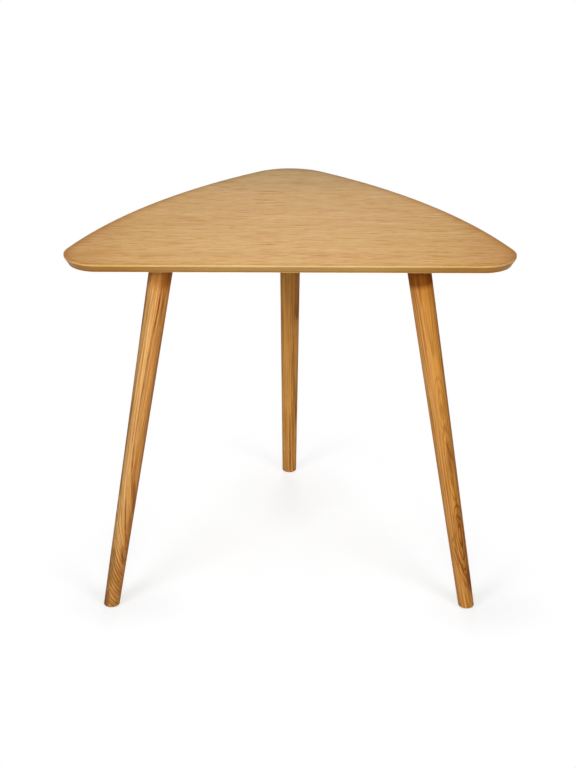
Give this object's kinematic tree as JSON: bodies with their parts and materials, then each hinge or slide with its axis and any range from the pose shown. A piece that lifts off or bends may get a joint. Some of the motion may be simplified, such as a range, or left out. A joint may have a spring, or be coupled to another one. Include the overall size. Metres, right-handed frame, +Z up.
{
  "type": "triangular dining table",
  "caption": "Small dining table with a rounded triangular oak-veneered top, an undercut edge and tapered, splayed round oak legs on angled steel plates.",
  "frame": {"origin": "on the floor under the middle of the box round the whole table", "axes": "+Z up, +X along the straight edge of the top, -Y out of that edge, +Y to the point opposite"},
  "size_m": [0.88, 0.6514, 0.75],
  "materials": {
    "veneer": "satin-lacquered oak veneer, grain along X",
    "edge": "satin-lacquered fibreboard core, plain edge",
    "leg_oak": "satin-lacquered solid oak, grain along the leg",
    "zinc_plate": "bright zinc-plated steel",
    "nylon": "natural nylon"
  },
  "bodies": {
    "root": {"tabletop_core": "edge", "tabletop_veneer": "veneer", "backing_veneer": "veneer", "mounting_plate_front_left": "zinc_plate", "plate_screw_front_left_1": "zinc_plate", "plate_screw_front_left_2": "zinc_plate", "plate_screw_front_left_3": "zinc_plate", "plate_screw_front_left_4": "zinc_plate", "weld_nut_front_left": "zinc_plate", "hanger_bolt_front_left": "zinc_plate", "leg_front_left": "leg_oak", "floor_glide_front_left": "nylon", "glide_nail_front_left": "zinc_plate", "mounting_plate_front_right": "zinc_plate", "plate_screw_front_right_1": "zinc_plate", "plate_screw_front_right_2": "zinc_plate", "plate_screw_front_right_3": "zinc_plate", "plate_screw_front_right_4": "zinc_plate", "weld_nut_front_right": "zinc_plate", "hanger_bolt_front_right": "zinc_plate", "leg_front_right": "leg_oak", "floor_glide_front_right": "nylon", "glide_nail_front_right": "zinc_plate", "mounting_plate_back": "zinc_plate", "plate_screw_back_1": "zinc_plate", "plate_screw_back_2": "zinc_plate", "plate_screw_back_3": "zinc_plate", "plate_screw_back_4": "zinc_plate", "weld_nut_back": "zinc_plate", "hanger_bolt_back": "zinc_plate", "leg_back": "leg_oak", "floor_glide_back": "nylon", "glide_nail_back": "zinc_plate"}
  },
  "joints": []
}
